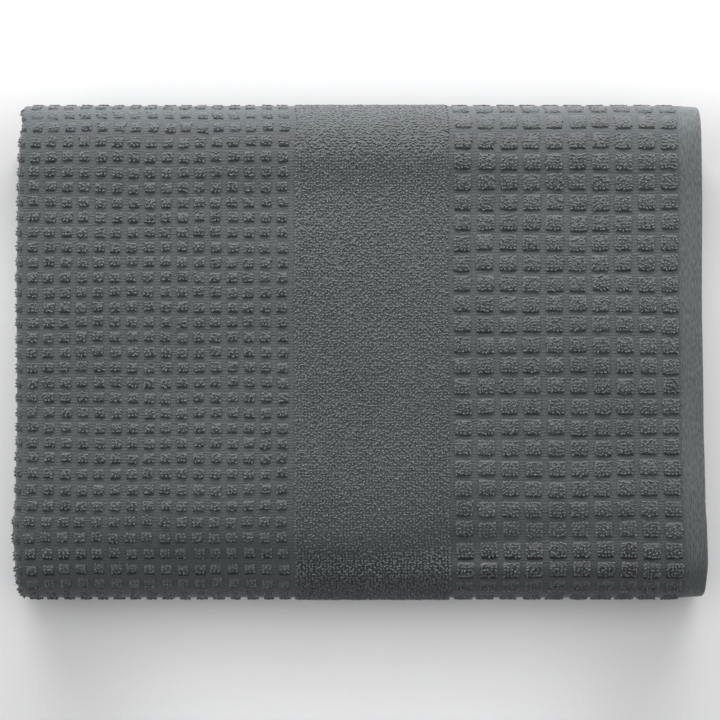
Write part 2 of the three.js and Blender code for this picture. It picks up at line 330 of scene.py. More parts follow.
@dataclass
class FoldedPack:
    """The folds of the pack, as the product of a path along the towel and a path across it."""

    length: float = 350 * MM
    width: float = 253 * MM
    cloth: float = 3.4 * MM
    gap: float = 0.7 * MM
    hem_width: float = 12 * MM
    selvedge_width: float = 9 * MM
    edge_ramp: float = 1 * MM
    edge_run: float = 1 * MM
    outer_corner: float = 4.6 * MM
    inner_turn_inset: float = 1.5 * MM
    second_hem_inset: float = 3 * MM
    end_turn_inset: float = 2.5 * MM
    hem_dip: Dip = Dip(3.5, 40 * MM, 14 * MM)
    second_hem_dip: Dip = Dip(1.5, 60 * MM, 12.5 * MM)
    flap_length: float = 194 * MM
    bottom_end_inset: float = 16 * MM
    bulge: float = 2.2 * MM
    bulge_still: float = 60 * MM
    bulge_whole: float = 120 * MM
    band: tuple[float, float] = (130.2 * MM, 207.2 * MM)
    flap_inset: tuple[float, float] = (2.2 * MM, -2.6 * MM)
    flap_inset_reach: float = 10 * MM
    flap_inset_span: tuple[float, float] = (-100 * MM, -70 * MM)
    bottom_stagger: float = 6 * MM
    bottom_skew: float = 1.6 * MM
    bottom_span: tuple[float, float] = (50 * MM, 112 * MM)
    lengthwise: FoldPath = field(init=False)
    widthwise: FoldPath = field(init=False)

    def __post_init__(self) -> None:
        """Lays both paths."""
        self.pitch = self.cloth + self.gap
        self.stack = 4 * self.cloth + 3 * self.gap
        self.stack_pitch = self.stack + self.gap
        self.top_ply = 1.5 * self.pitch
        self.height = 3 * self.stack + 2 * self.gap
        self.outer_rise = self.top_ply + self.cloth / 2
        self.flap_height = self.stack_pitch + self.stack / 2
        self.lengthwise = self.lay_lengthwise()
        self.widthwise = self.lay_widthwise()

    def lay_lengthwise(self) -> FoldPath:
        """The plies along the towel's length, from the visible hem to the hem on the ply under it."""
        hem_edge = self.length / 2
        left_face = -self.length / 2 + self.cloth / 2
        left_turn = left_face + self.outer_corner
        inner_left_turn = left_face + self.top_ply + self.inner_turn_inset
        inner_radius = self.pitch / 2
        right_turn = self.length / 2 - self.end_turn_inset - inner_radius - self.cloth / 2
        dip = self.hem_dip
        second_dip = self.second_hem_dip
        flat_hem = self.hem_width - self.edge_ramp
        face = 2 * (self.top_ply - self.outer_corner)
        inner_ply = hem_edge - self.second_hem_inset - second_dip.along - inner_left_turn
        near = 12 * MM
        step = 1 * MM
        before_top = dip.run + dip.radius * dip.lean
        top_run = hem_edge - dip.along - left_turn
        band_start, band_end = self.band
        band_run = band_end - band_start
        hidden = right_turn - left_turn - 2 * near
        hidden_above = right_turn - inner_left_turn - near
        stretches = [
            Stretch("hem edge", run=self.edge_run, grain=0.2 * MM),
            Stretch("hem", run=flat_hem - self.edge_run, grain=2.5 * MM),
            Stretch("hem step", run=self.edge_ramp, grain=0.5 * MM),
            Stretch("rise beside the hem", run=dip.run - self.hem_width, grain=1 * MM),
            Stretch("bend", turn=dip.angle, radius=dip.radius),
            Stretch("large checks", run=band_start - step / 2 - before_top),
            Stretch("band start", run=step, grain=0.5 * MM),
            Stretch("band", run=band_run - step),
            Stretch("band end", run=step, grain=0.5 * MM),
            Stretch("small checks", run=before_top + top_run - band_end - step / 2),
            Stretch("upper left corner", turn=90, radius=self.outer_corner, grain=1.3 * MM),
            Stretch("left face", run=face, grain=1.6 * MM),
            Stretch("lower left corner", turn=90, radius=self.outer_corner, grain=1.3 * MM),
            Stretch("bottom ply by the left face", run=near),
            Stretch("bottom ply", run=hidden, grain=50 * MM),
            Stretch("bottom ply by the right fold", run=near),
            Stretch("right fold", turn=180, radius=inner_radius, grain=0.9 * MM),
            Stretch("lower inner ply by the right fold", run=near),
            Stretch("lower inner ply", run=hidden_above, grain=50 * MM),
            Stretch("inner left fold", turn=-180, radius=inner_radius, grain=1.3 * MM),
            Stretch("upper inner ply", run=inner_ply, grain=50 * MM),
            Stretch("second bend", turn=-second_dip.angle, radius=second_dip.radius),
            Stretch("fall by the second hem", run=second_dip.run - self.hem_width),
            Stretch("second hem step", run=self.edge_ramp, grain=0.5 * MM),
            Stretch("second hem", run=flat_hem - self.edge_run, grain=5 * MM),
            Stretch("second hem edge", run=self.edge_run, grain=0.25 * MM),
        ]
        return FoldPath((hem_edge, self.top_ply - dip.down, math.pi - dip.lean), stretches)

    def lay_widthwise(self) -> FoldPath:
        """The stack's middle across the towel's width, from the edge of the flap inside to the edge below."""
        back_turn = self.stack_pitch / 2
        corner = self.stack_pitch / 2
        back_at = self.width / 2 - back_turn - self.stack / 2
        front_at = -self.width / 2 + self.bulge + corner + self.stack / 2
        bottom_end = self.width / 2 - self.bottom_end_inset
        flat_selvedge = self.selvedge_width - self.edge_ramp
        face = 2 * (self.stack_pitch - corner)
        stretches = [
            Stretch("flap edge", run=self.edge_run, grain=0.25 * MM),
            Stretch("flap selvedge", run=flat_selvedge - self.edge_run),
            Stretch("flap selvedge step", run=self.edge_ramp),
            Stretch("flap", run=self.flap_length - self.selvedge_width, grain=10 * MM),
            Stretch("back fold", turn=180, radius=back_turn, grain=1.35 * MM),
            Stretch("top panel", run=back_at - front_at),
            Stretch("upper front corner", turn=90, radius=corner, grain=1.3 * MM),
            Stretch("front face", run=face, grain=3 * MM),
            Stretch("lower front corner", turn=90, radius=corner, grain=1.3 * MM),
            Stretch("bottom panel", run=bottom_end - front_at - self.selvedge_width, grain=7 * MM),
            Stretch("bottom selvedge step", run=self.edge_ramp, grain=0.5 * MM),
            Stretch("bottom selvedge", run=flat_selvedge - self.edge_run, grain=4 * MM),
            Stretch("bottom edge", run=self.edge_run, grain=0.2 * MM),
        ]
        return FoldPath((back_at - self.flap_length, self.flap_height, 0.0), stretches)

    def face_width(self, name: str) -> float:
        """The length across the pack's outer face up to the end of the named stretch."""
        return float(self.widthwise.face_lengths(np.array([self.widthwise.end(name)]), self.outer_rise)[0])

    def face_length_middle(self, name: str) -> float:
        """The length along the pack's outer face up to the middle of the named stretch."""
        middle = np.array([self.lengthwise.middle(name)])
        return float(self.lengthwise.face_lengths(middle, self.cloth / 2)[0])

    def from_edges(self, along: np.ndarray, across: np.ndarray) -> tuple[np.ndarray, np.ndarray]:
        """How far places of the cloth lie from the nearer hem's edge, and from the nearer selvedge's."""
        from_end = np.minimum(along, self.lengthwise.length - along)
        return from_end, np.minimum(across, self.widthwise.length - across)

    def height_share(self, x: np.ndarray, y: np.ndarray) -> np.ndarray:
        """The share of its height that the pack keeps at each place."""
        place = (x, y)
        half = (self.length / 2, self.width / 2)
        share = np.ones_like(x)
        for row in SHOULDERS:
            inward = half[row.axis] - row.side * place[row.axis]
            fall = np.clip(1 - inward / (row.reach * MM), 0, 1)
            share = share - row.drop * fall * fall
        for swell in SWELLS + CREASES:
            turn = math.radians(swell.turn)
            from_x = x / MM - swell.x
            from_y = y / MM - swell.y
            along = (from_x * math.cos(turn) + from_y * math.sin(turn)) / swell.reach_along
            across = (from_y * math.cos(turn) - from_x * math.sin(turn)) / swell.reach_across
            share = share + (swell.lift * MM / self.height) * np.exp(-along * along - across * across)
        return share

    def settle(self, x: np.ndarray, y: np.ndarray, z: np.ndarray) -> np.ndarray:
        """Moves points of the even pack to where the soft cloth settles.

        Args:
            x: Places along the towel.
            y: Places across it.
            z: Heights.

        Returns:
            The settled points, one row for each.
        """
        from_flap = np.abs(z - self.flap_height)
        at_flap = smoothstep(y, *self.flap_inset_span) * (1 - smoothstep(from_flap, 0, self.flap_inset_reach))
        left = read_rows(OUTLINE, 1, y) + read_rows(LEAN, 1, z) + self.flap_inset[0] * at_flap
        right = read_rows(OUTLINE, 2, y) + read_rows(LEAN, 2, z) + self.flap_inset[1] * at_flap
        share = (x + self.length / 2) / self.length
        at_bottom = smoothstep(y, *self.bottom_span) * np.clip(1 - z / self.stack, 0, 1)
        forward = self.bottom_stagger + self.bottom_skew * x / (self.length / 2)
        at_front = smoothstep(-y, self.bulge_still, self.bulge_whole)
        bulge = self.bulge * at_front * (1 - (2 * z / self.height - 1) ** 2)
        return np.stack(
            [
                left + (right - left) * share,
                y - forward * at_bottom - bulge,
                z * self.height_share(x, y),
            ],
            axis=-1,
        )

    def place(self, along: np.ndarray, across: np.ndarray, lift: np.ndarray) -> np.ndarray:
        """Where points of the cloth lie.

        Args:
            along: Distances along the towel's length.
            across: Distances along its width.
            lift: How far off the middle of the cloth, positive on the face that is outside in the pack.

        Returns:
            The points, one row for each.
        """
        a, b, heading = self.lengthwise.at(along)
        x = a + np.sin(heading) * lift
        rise = b - np.cos(heading) * lift
        a, b, heading = self.widthwise.at(across)
        return self.settle(x, a + np.sin(heading) * rise, b - np.cos(heading) * rise)


@dataclass(frozen=True)
class Ground:
    """How thick the cloth is without its pile: its hems, selvedges and weave, from the middle to a face."""

    hem: float = 1.0 * MM
    selvedge: float = 1.1 * MM
    weave: float = 0.6 * MM
    packed: float = 0.99 * MM
    with_pile: float = 1.7 * MM
    rounding: float = 1.0 * MM
    blend: float = 3 * MM
    crush: float = 0.12 * MM
    crush_reach: float = 9 * MM
    crush_eases: float = 0.6
    open_reach: float = 16 * MM
    thinnest: float = 0.02

    def bare_share(self, pack: FoldedPack, along: np.ndarray) -> np.ndarray:
        """1 where the outer face is bare weave under loops, 0 where the sheet is as thick as its pile."""
        path = pack.lengthwise
        left_end = path.end("lower left corner") + self.blend
        outside = 1 - smoothstep(along, left_end, left_end + self.blend)
        fold = path.middle("right fold")
        reach = fold - path.begin("right fold") + self.blend
        at_fold = 1 - smoothstep(np.abs(along - fold), reach, reach + self.blend)
        return np.maximum(outside, at_fold)

    def crushed_share(self, pack: FoldedPack, across: np.ndarray) -> np.ndarray:
        """How far the back fold crushes the pile, from 0 to 1. It also sets the painted shade on the back
        roll.
        """
        start = pack.widthwise.begin("back fold")
        end = pack.widthwise.end("back fold")
        reach = self.crush_reach
        return plateau(across, (start, start + reach), (end - self.crush_eases * reach, end + reach))

    def open_share(self, pack: FoldedPack, across: np.ndarray) -> np.ndarray:
        """How far the front fold spreads the pile, from 0 to 1. It also sets the painted shade and highlights
        there.
        """
        start = pack.widthwise.end("top panel")
        end = pack.widthwise.end("lower front corner")
        return plateau(across, (start - self.open_reach, start), (end, end + self.open_reach))

    def packed_lift(self, pack: FoldedPack, across: np.ndarray) -> np.ndarray:
        """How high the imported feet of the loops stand, which is higher where the back fold crushes them."""
        return self.packed + self.crush * self.crushed_share(pack, across)

    def lift(self, pack: FoldedPack, along: np.ndarray, across: np.ndarray, face: int) -> np.ndarray:
        """How far a face of the sheet lies from the middle of the cloth.

        Args:
            pack: The folds.
            along: Distances along the towel's length.
            across: Distances along its width.
            face: 1 for the face that is outside in the pack, -1 for the other one.

        Returns:
            The distance at each place, positive on the outer face.
        """
        from_end, from_side = pack.from_edges(along, across)
        field_lift = np.full_like(along, self.with_pile)
        if face > 0:
            half_step = pack.edge_ramp / 2
            start, end = pack.band
            in_band = plateau(
                along, (start - half_step, start + half_step), (end - half_step, end + half_step)
            )
            bare = self.weave + (self.packed_lift(pack, across) - self.weave) * in_band
            field_lift = field_lift + (bare - self.with_pile) * self.bare_share(pack, along)
        in_selvedge = smoothstep(from_side, pack.selvedge_width - pack.edge_ramp, pack.selvedge_width)
        lift = self.selvedge + (field_lift - self.selvedge) * in_selvedge
        in_hem = smoothstep(from_end, pack.hem_width - pack.edge_ramp, pack.hem_width)
        lift = self.hem + (lift - self.hem) * in_hem
        for distance in (from_end, from_side):
            inward = 1 - np.clip(distance / self.rounding, 0, 1)
            lift = lift * np.sqrt(np.maximum(1 - inward * inward, self.thinnest))
        return face * lift


class Wire:
    """A value from a node's output, whose operators add Math nodes."""

    def __init__(self, nodes: "FinishNodes", socket: bpy.types.NodeSocket) -> None:
        """Keeps the socket and the material's nodes that it belongs to."""
        self.nodes = nodes
        self.socket = socket

    def math(self, operation: str, *values: Any) -> "Wire":
        """Adds one Math node that reads the values in order."""
        made = self.nodes.add("ShaderNodeMath", {"operation": operation}, dict(enumerate(values)))
        return Wire(self.nodes, made.outputs[0])

    def __add__(self, other: Any) -> "Wire":
        """This value plus the other one."""
        return self.math("ADD", self, other)

    __radd__ = __add__

    def __sub__(self, other: Any) -> "Wire":
        """This value minus the other one."""
        return self.math("SUBTRACT", self, other)

    def __rsub__(self, other: Any) -> "Wire":
        """The other value minus this one."""
        return self.math("SUBTRACT", other, self)

    def __mul__(self, other: Any) -> "Wire":
        """This value times the other one."""
        return self.math("MULTIPLY", self, other)

    __rmul__ = __mul__

    def __truediv__(self, other: Any) -> "Wire":
        """This value over the other one."""
        return self.math("DIVIDE", self, other)

    def sine(self) -> "Wire":
        """The sine of this value."""
        return self.math("SINE", self)

    def clamped(self) -> "Wire":
        """This value held between 0 and 1."""
        return self.math("MAXIMUM", self.math("MINIMUM", self, 1.0), 0.0)


class Noise(NamedTuple):
    """A finish's noise: how many lumps a metre it has, how detailed it is, and how much it counts."""

    scale: float
    detail: float
    weight: float = 1.0


class FinishNodes:
    """One material's nodes."""

    def __init__(self, name: str) -> None:
        """Makes an empty material of this name."""
        self.material = bpy.data.materials.new(name)
        self.material.use_nodes = True
        self.tree = self.material.node_tree
        self.tree.nodes.clear()

    def add(
        self, kind: str, settings: dict[str, Any] | None = None, values: dict[Any, Any] | None = None
    ) -> bpy.types.Node:
        """Makes one node.

        Args:
            kind: The node's type.
            settings: Its own settings, which are set first.
            values: What its input sockets, by name or number, hold or are linked to.

        Returns:
            The node.
        """
        node = self.tree.nodes.new(kind)
        for key, setting in (settings or {}).items():
            setattr(node, key, setting)
        for key, value in (values or {}).items():
            if isinstance(value, Wire):
                self.tree.links.new(value.socket, node.inputs[key])
            elif isinstance(value, bpy.types.NodeSocket):
                self.tree.links.new(value, node.inputs[key])
            else:
                node.inputs[key].default_value = value
        return node

    def attribute(self, name: str) -> bpy.types.Node:
        """The node that reads a mesh attribute."""
        return self.add("ShaderNodeAttribute", {"attribute_name": name, "attribute_type": "GEOMETRY"})

    def noise(self, kind: Noise, at: bpy.types.NodeSocket | None = None) -> Wire:
        """Noise from 0 to 1, in the object's own space or where a vector says."""
        where = at or self.add("ShaderNodeTexCoord").outputs["Object"]
        values = {"Vector": where, "Scale": kind.scale, "Detail": kind.detail}
        return Wire(self, self.add("ShaderNodeTexNoise", None, values).outputs["Fac"])

    def uneven(self, kind: Noise) -> Wire:
        """Noise either way round 0, by its weight."""
        return (self.noise(kind) - 0.5) * kind.weight

    def axes(self, where: bpy.types.NodeSocket) -> list[Wire]:
        """The parts of a vector along its three axes."""
        made = self.add("ShaderNodeSeparateXYZ", None, {0: where})
        return [Wire(self, output) for output in made.outputs]

    def stretched(self, where: bpy.types.NodeSocket, sizes: tuple[float, float]) -> bpy.types.NodeSocket:
        """A place whose first two axes are counted each in its own size."""
        factors = (1 / sizes[0], 1 / sizes[1], 1.0)
        made = self.add("ShaderNodeVectorMath", {"operation": "MULTIPLY"}, {0: where, 1: factors})
        return made.outputs[0]

    def blend(self, share: Wire, low: Sequence[float], high: Sequence[float]) -> bpy.types.NodeSocket:
        """A colour between low and high."""
        made = self.add(
            "ShaderNodeMix",
            {"data_type": "RGBA"},
            {"Factor": share, "A": (*low, 1.0), "B": (*high, 1.0)},
        )
        return made.outputs["Result"]

    def relief(self, height: Wire, depth: float) -> bpy.types.NodeSocket:
        """A normal bent by a height from 0 to 1 that stands for so many metres."""
        made = self.add("ShaderNodeBump", None, {"Height": height, "Distance": depth})
        return made.outputs["Normal"]

    def cotton(
        self, colour: bpy.types.NodeSocket, normal: bpy.types.NodeSocket, roughness: float = 0.95
    ) -> bpy.types.Material:
        """Ends the material in matt cotton, with the soft light that fibres give.

        Args:
            colour: The link for its colour.
            normal: The link for its normal.
            roughness: How matt it is.

        Returns:
            The material.
        """
        shader = self.add(
            "ShaderNodeBsdfPrincipled",
            None,
            {
                "Base Color": colour,
                "Normal": normal,
                "Roughness": roughness,
                "Specular IOR Level": 0.12,
                "Sheen Weight": 0.35,
                "Sheen Roughness": 0.45,
            },
        )
        self.add("ShaderNodeOutputMaterial", None, {"Surface": shader.outputs[0]})
        return self.material


def tint(colour: Sequence[float], share: float) -> tuple[float, ...]:
    """A colour made darker or lighter by a share."""
    return tuple(channel * share for channel in colour)


@dataclass(frozen=True)
class YarnFinish:
    """The terry loops' finish: dyed cotton yarn, uneven from loop to loop, with painted shade at their feet.
    """

    colour: tuple[float, float, float] = (0.0988, 0.109, 0.112)
    deepest: float = 0.3
    lightest: float = 1.34
    blotches: Noise = Noise(24, 2, 0.25)
    grain: Noise = Noise(1300, 1, 0.5)
    fibre: Noise = Noise(5200, 2, 0.3)
    grain_height: float = 0.7
    depth: float = 0.26 * MM

    def material(self) -> bpy.types.Material:
        """The yarn's material."""
        nodes = FinishNodes("terry_yarn")
        # The shade attribute holds the yarn's own tone together with the pile's painted shade and painted
        # highlights
        shade = Wire(nodes, nodes.attribute("shade").outputs["Fac"])
        grain = nodes.noise(self.grain)
        share = (shade + nodes.uneven(self.blotches) + (grain - 0.5) * self.grain.weight).clamped()
        colour = nodes.blend(share, tint(self.colour, self.deepest), tint(self.colour, self.lightest))
        height = grain * self.grain_height + nodes.noise(self.fibre) * self.fibre.weight
        return nodes.cotton(colour, nodes.relief(height, self.depth))


@dataclass(frozen=True)
class GroundFinish:
    """The finish of the flat weave between the checks, with its ribs of warp and finer weft."""

    colour: tuple[float, float, float] = (0.086, 0.0957, 0.0988)
    deepest: float = 0.78
    lightest: float = 1.18
    rib: float = 1.5 * MM
    rib_waver: float = 7.0
    rib_height: float = 0.08
    weft: float = 0.56 * MM
    weft_waver: float = 3.0
    weft_height: float = 0.04
    waver: Noise = Noise(260, 2)
    streaks: Noise = Noise(1, 1)
    streak_size: tuple[float, float] = (5 * MM, 0.9 * MM)
    streak_height: float = 0.7
    streak_shade: float = 0.4
    grain: Noise = Noise(1300, 1, 0.5)
    fibre: Noise = Noise(3000, 2, 0.3)
    blotches: Noise = Noise(24, 2, 0.5)
    depth: float = 0.42 * MM

    def material(self) -> bpy.types.Material:
        """The weave's material."""
        nodes = FinishNodes("terry_ground")
        lay = nodes.attribute("lay").outputs["Vector"]
        length, width, _ = nodes.axes(lay)
        waver = nodes.noise(self.waver)
        streak = nodes.noise(self.streaks, nodes.stretched(lay, self.streak_size)) - 0.5
        ribs = (width * (math.tau / self.rib) + waver * self.rib_waver).sine() * self.rib_height
        picks = (length * (math.tau / self.weft) + waver * self.weft_waver).sine() * self.weft_height
        lumps = streak * self.streak_height + nodes.uneven(self.grain) + nodes.uneven(self.fibre)
        height = (0.5 + ribs + picks + lumps).clamped()
        share = (0.5 + ribs + streak * self.streak_shade + nodes.uneven(self.blotches)).clamped()
        colour = nodes.blend(share, tint(self.colour, self.deepest), tint(self.colour, self.lightest))
        return nodes.cotton(colour, nodes.relief(height, self.depth))


@dataclass(frozen=True)
class HemFinish:
    """The finish of the flat woven hems and selvedges, with fine lines along the edge."""

    colour: tuple[float, float, float] = (0.1, 0.11, 0.114)
    deepest: float = 0.72
    lightest: float = 1.24
    line: float = 0.9 * MM
    line_waver: float = 5.0
    line_height: float = 0.1
    waver: Noise = Noise(500, 2)
    streaks: Noise = Noise(1, 2)
    streak_size: tuple[float, float] = (0.8 * MM, 3.2 * MM)
    streak_height: float = 1.1
    streak_shade: float = 2.4
    fibre: Noise = Noise(3000, 2, 0.4)
    blotches: Noise = Noise(40, 2, 0.5)
    depth: float = 0.5 * MM
    roughness: float = 0.9

    def material(self) -> bpy.types.Material:
        """The hem's material."""
        nodes = FinishNodes("hem_weave")
        lay = nodes.attribute("lay").outputs["Vector"]
        length = nodes.axes(lay)[0]
        waver = nodes.noise(self.waver)
        streak = nodes.noise(self.streaks, nodes.stretched(lay, self.streak_size)) - 0.5
        lines = (length * (math.tau / self.line) + waver * self.line_waver).sine() * self.line_height
        height = (0.5 + lines + streak * self.streak_height + nodes.uneven(self.fibre)).clamped()
        share = (0.5 + streak * self.streak_shade + nodes.uneven(self.blotches)).clamped()
        colour = nodes.blend(share, tint(self.colour, self.deepest), tint(self.colour, self.lightest))
        return nodes.cotton(colour, nodes.relief(height, self.depth), self.roughness)


def set_attribute(piece: bpy.types.Object, name: str, values: np.ndarray) -> None:
    """Gives each vertex a number, or a vector where the values have rows, under this name."""
    kind, key = ("FLOAT", "value") if values.ndim == 1 else ("FLOAT_VECTOR", "vector")
    attribute = piece.data.attributes.new(name, kind, "POINT")
    attribute.data.foreach_set(key, values.astype(np.float32).ravel())


def triangles(pieces: Sequence[bpy.types.Object]) -> int:
    """How many triangles pieces of four-sided faces have."""
    return sum(2 * len(piece.data.polygons) for piece in pieces)


def make_piece(
    name: str,
    points: np.ndarray,
    faces: np.ndarray,
    bake_map: np.ndarray,
    materials: Sequence[bpy.types.Material],
    face_materials: np.ndarray | None = None,
) -> bpy.types.Object:
    """Makes a smooth mesh object of four-sided faces.

    Args:
        name: The object's name.
        points: The vertices, in metres.
        faces: The faces, as rows of four vertex numbers.
        bake_map: A flat place from 0 to 1 for each corner of each face.
        materials: The materials of its slots.
        face_materials: Each face's slot, if not the first.

    Returns:
        The object, in the scene.
    """
    mesh = bpy.data.meshes.new(name)
    mesh.vertices.add(len(points))
    mesh.vertices.foreach_set("co", points.astype(np.float32).ravel())
    mesh.loops.add(faces.size)
    mesh.loops.foreach_set("vertex_index", faces.astype(np.int32).ravel())
    mesh.polygons.add(len(faces))
    mesh.polygons.foreach_set("loop_start", np.arange(0, faces.size, 4, dtype=np.int32))
    for material in materials:
        mesh.materials.append(material)
    if face_materials is not None:
        mesh.polygons.foreach_set("material_index", face_materials.astype(np.int32))
    mesh.update(calc_edges=True)
    mesh.shade_smooth()
    layer = mesh.uv_layers.new(name=BAKE_MAP)
    layer.uv.foreach_set("vector", bake_map.astype(np.float32).ravel())
    made = bpy.data.objects.new(name, mesh)
    bpy.context.scene.collection.objects.link(made)
    return made


@dataclass
class TowelCloth:
    """The cloth without its loops: one closed sheet of ground weave, hems and selvedges on all its folds."""

    pack: FoldedPack
    yarn: bpy.types.Material
    ground: Ground = Ground()
    # Painted shade on the band's ground, on the back roll and on the front fold
    cloth_back_roll_painted_shade: float = 0.22
    cloth_front_fold_painted_shade: float = 0.4
    map_share: float = 0.499

    def build(self) -> bpy.types.Object:
        """Makes the sheet. Each of its two faces has half of the bake's map."""
        along = self.pack.lengthwise.stations()
        across = self.pack.widthwise.stations()
        grid_along, grid_across = every_pair(along, across)
        points = []
        lays = []
        for face in (1, -1):
            lift = self.ground.lift(self.pack, grid_along, grid_across, face)
            points.append(self.pack.place(grid_along, grid_across, lift))
            length = self.pack.lengthwise.face_lengths(grid_along, face * self.pack.cloth / 2)
            width = self.pack.widthwise.face_lengths(grid_across, face * self.pack.outer_rise)
            lays.append(np.stack([length, width, np.zeros_like(length)], axis=-1))
        faces, corners_map = self.faces(len(along), len(across))
        flat = np.stack([grid_along / along[-1], grid_across / across[-1] * self.map_share], axis=-1)
        flat = np.concatenate([flat, flat + [0, 0.5]])
        made = make_piece(
            "towel_cloth",
            np.concatenate(points),
            faces,
            flat[corners_map],
            [GroundFinish().material(), HemFinish().material(), self.yarn],
            self.face_slots(faces, np.tile(grid_along, 2), np.tile(grid_across, 2)),
        )
        set_attribute(made, "lay", np.concatenate(lays))
        # Painted shade: the band's ground is painted darker on the back roll and on the front fold
        crushed = self.ground.crushed_share(self.pack, grid_across)
        opened = self.ground.open_share(self.pack, grid_across)
        packed = PACKED_SHADE - self.cloth_back_roll_painted_shade * crushed - self.cloth_front_fold_painted_shade * opened
        set_attribute(made, "shade", np.tile(packed, 2))
        return made

    def face_slots(self, faces: np.ndarray, along: np.ndarray, across: np.ndarray) -> np.ndarray:
        """1 for a face in a hem or a selvedge, 2 for the outer face's band, 0 for the others."""
        middle_along = along[faces].mean(axis=1)
        middle_across = across[faces].mean(axis=1)
        from_end, from_side = self.pack.from_edges(middle_along, middle_across)
        flat_weave = (from_end < self.pack.hem_width) | (from_side < self.pack.selvedge_width)
        start, end = self.pack.band
        outer = faces.max(axis=1) < len(along) // 2
        in_band = outer & (middle_along > start) & (middle_along < end)
        return np.where(flat_weave, 1, np.where(in_band, 2, 0))

    @staticmethod
    def faces(rows: int, columns: int) -> tuple[np.ndarray, np.ndarray]:
        """The sheet's faces.

        Args:
            rows: Stations along the towel.
            columns: Stations across it.

        Returns:
            The faces as rows of four vertex numbers, and the vertex whose flat place each corner takes.
        """
        numbers = np.arange(rows * columns).reshape(rows, columns)
        other = numbers + rows * columns
        squares = np.stack([numbers[:-1, :-1], numbers[1:, :-1], numbers[1:, 1:], numbers[:-1, 1:]], axis=-1)
        outer = squares.reshape(-1, 4)
        inner = outer[:, ::-1] + rows * columns
        walls = []
        for upper, lower, turned in (
            (numbers[:, 0], other[:, 0], True),
            (numbers[:, -1], other[:, -1], False),
            (numbers[0], other[0], False),
            (numbers[-1], other[-1], True),
        ):
            wall = np.stack([upper[:-1], upper[1:], lower[1:], lower[:-1]], axis=-1)
            walls.append(wall[:, ::-1] if turned else wall)
        walls = np.concatenate(walls)
        faces = np.concatenate([outer, inner, walls])
        return faces, np.concatenate([outer, inner, walls % (rows * columns)])


class Grade(Enum):
    """How finely a loop is meshed: its stations along the yarn and its sides."""

    FINE = (4, 4)
    PLAIN = (3, 3)


class Spots(NamedTuple):
    """Places for loops on the outer face, by lengths along it, and where each one stands in its check."""

    length: np.ndarray
    width: np.ndarray
    edge_length: np.ndarray
    edge_width: np.ndarray


@dataclass(frozen=True)
class LoopGrid:
    """The loops' spacing in the weave, and how far checks wander slowly and by chance."""

    along: float = 1.67 * MM
    across: float = 1.50 * MM
    wander: float = 0.68 * MM
    wander_along_share: float = 0.6
    check_jitter: float = 0.21 * MM

    def wave(self, length: np.ndarray, width: np.ndarray, phase: float) -> np.ndarray:
        """A slow waver from -1 to 1 over the cloth."""
        first = np.sin(length / (31 * MM) + phase) * np.cos(width / (23 * MM) - 2 * phase)
        second = np.sin(length / (13 * MM) - width / (17 * MM) + 3 * phase)
        return 0.6 * first + 0.4 * second


def bowed(share: np.ndarray) -> np.ndarray:
    """How much of its reach a check's side keeps towards the corners, which the pull of the weave rounds."""
    return 1 - CORNER_PULL * np.clip(share, -1, 1) ** 2


@dataclass(frozen=True)
class CheckField:
    """A field of raised square checks, in lengths along the outer face from the hem's edge and the back.

    Its rows drift towards the front by the slack, over the span that goes with it.
    """

    columns: range
    first_column: float
    column_pitch: float
    first_row: float
    row_pitch: float
    side: int
    slack: float = 0.0
    slack_span: tuple[float, float] = (167 * MM, 232 * MM)

    def middles(self, grid: LoopGrid, low: float, high: float, rng: np.random.Generator) -> np.ndarray:
        """The middles of the checks between two places across the towel.

        Args:
            grid: The loops' spacing.
            low: The lowest place for a check's middle.
            high: The highest one.
            rng: The source of small differences.

        Returns:
            Two rows: the places along the towel, and across it.
        """
        first = math.floor((low - self.slack - self.first_row) / self.row_pitch)
        last = math.ceil((high - self.first_row) / self.row_pitch)
        row_at = self.first_row + np.arange(first, last + 1) * self.row_pitch
        span = self.slack_span[1] - self.slack_span[0]
        row_at = row_at + self.slack * np.clip((row_at - self.slack_span[0]) / span, 0, 1)
        row_at = row_at[(row_at >= low) & (row_at < high)]
        column_at = self.first_column + np.array(self.columns) * self.column_pitch
        length, width = every_pair(column_at, row_at)
        jitter = rng.normal(0, grid.check_jitter, (2, len(length)))
        return np.stack(
            [
                length + grid.wander_along_share * grid.wander * grid.wave(length, width, 0.7) + jitter[0],
                width + grid.wander * grid.wave(length, width, 2.1) + jitter[1],
            ]
        )

    def spots(self, grid: LoopGrid, middles: np.ndarray) -> Spots:
        """The loops of the checks with these middles."""
        step = np.arange(self.side) - (self.side - 1) / 2
        step_length, step_width = every_pair(step, step)
        edge = (self.side - 1) / 2
        edge_length = step_length / edge
        edge_width = step_width / edge
        shape = (middles.shape[1], len(step_length))
        return Spots(
            (middles[0][:, None] + step_length * grid.along * bowed(edge_width)).ravel(),
            (middles[1][:, None] + step_width * grid.across * bowed(edge_length)).ravel(),
            np.broadcast_to(edge_length, shape).ravel(),
            np.broadcast_to(edge_width, shape).ravel(),
        )


@dataclass(frozen=True)
class PlainBand:
    """A band that is covered with loops all over."""

    start: float
    end: float
    along: float = 1.56 * MM
    across: float = 1.43 * MM

    def spots(self, low: float, high: float) -> Spots:
        """The band's loops between two places across the towel."""
        lengths = np.arange(self.start + self.along / 8, self.end, self.along)
        widths = np.arange(math.ceil(low / self.across), math.ceil(high / self.across)) * self.across
        length, width = every_pair(lengths, widths)
        middle = (self.start + self.end) / 2
        edge = np.clip((np.abs(length - middle) - (self.end - self.start) / 2) / self.along + 1, 0, 1)
        return Spots(length, width, edge * np.sign(length - middle), np.zeros_like(length))


class PileArea(NamedTuple):
    """One area of the pile, which is one joined mesh, and the share of its loops that is built."""

    name: str
    fields: tuple[CheckField | PlainBand, ...]
    low: float
    high: float
    grade: Grade
    built: float = 1.0


